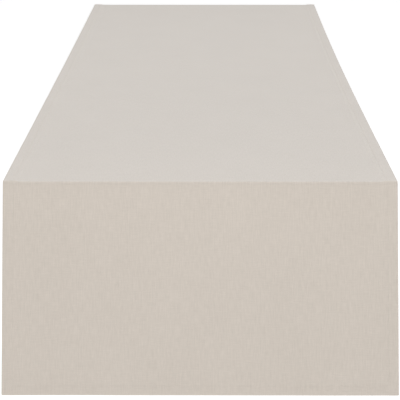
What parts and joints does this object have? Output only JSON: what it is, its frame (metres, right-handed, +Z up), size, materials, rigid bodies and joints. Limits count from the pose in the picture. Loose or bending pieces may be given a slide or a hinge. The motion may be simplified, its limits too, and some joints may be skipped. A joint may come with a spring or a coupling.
{
  "type": "table runner",
  "caption": "Long plain woven table runner with mitred hems, draped lengthwise so that an end hangs down at each end of the table.",
  "frame": {"origin": "on the table's surface, under the middle of the cloth", "axes": "+X across the cloth to the right, +Y along the cloth to the back end, +Z up; the front end hangs at -Y"},
  "size_m": [0.406, 1.8424, 0.2242],
  "materials": {
    "linen_look_cloth": "matt plain weave with slubs, greige",
    "needle_thread": "spun sewing thread, matched to the cloth",
    "bobbin_thread": "spun sewing thread, matched to the cloth",
    "label_satin": "soft satin ribbon, blank"
  },
  "bodies": {
    "table_part": {"table_panel": "linen_look_cloth", "front_bend": "linen_look_cloth", "back_bend": "linen_look_cloth", "left_table_hem": "linen_look_cloth", "right_table_hem": "linen_look_cloth", "front_left_bend_hem": "linen_look_cloth", "front_right_bend_hem": "linen_look_cloth", "back_left_bend_hem": "linen_look_cloth", "back_right_bend_hem": "linen_look_cloth", "left_needle_thread": "needle_thread", "right_needle_thread": "needle_thread", "left_bobbin_thread": "bobbin_thread", "right_bobbin_thread": "bobbin_thread"},
    "front_drop": {"front_drop_panel": "linen_look_cloth", "front_left_hem": "linen_look_cloth", "front_right_hem": "linen_look_cloth", "front_end_hem": "linen_look_cloth", "front_needle_thread": "needle_thread", "front_bobbin_thread": "bobbin_thread"},
    "back_drop": {"back_drop_panel": "linen_look_cloth", "back_left_hem": "linen_look_cloth", "back_right_hem": "linen_look_cloth", "back_end_hem": "linen_look_cloth", "back_needle_thread": "needle_thread", "back_bobbin_thread": "bobbin_thread", "care_label": "label_satin"}
  },
  "joints": [
    {"name": "front_drop_fold", "type": "hinge", "parent": "table_part", "child": "front_drop", "pos_m": [0, -0.92036, -0.00044], "axis": [-1, 0, 0], "range_deg": [0, 90]},
    {"name": "back_drop_fold", "type": "hinge", "parent": "table_part", "child": "back_drop", "pos_m": [0, 0.92036, -0.00044], "axis": [1, 0, 0], "range_deg": [0, 90]}
  ]
}
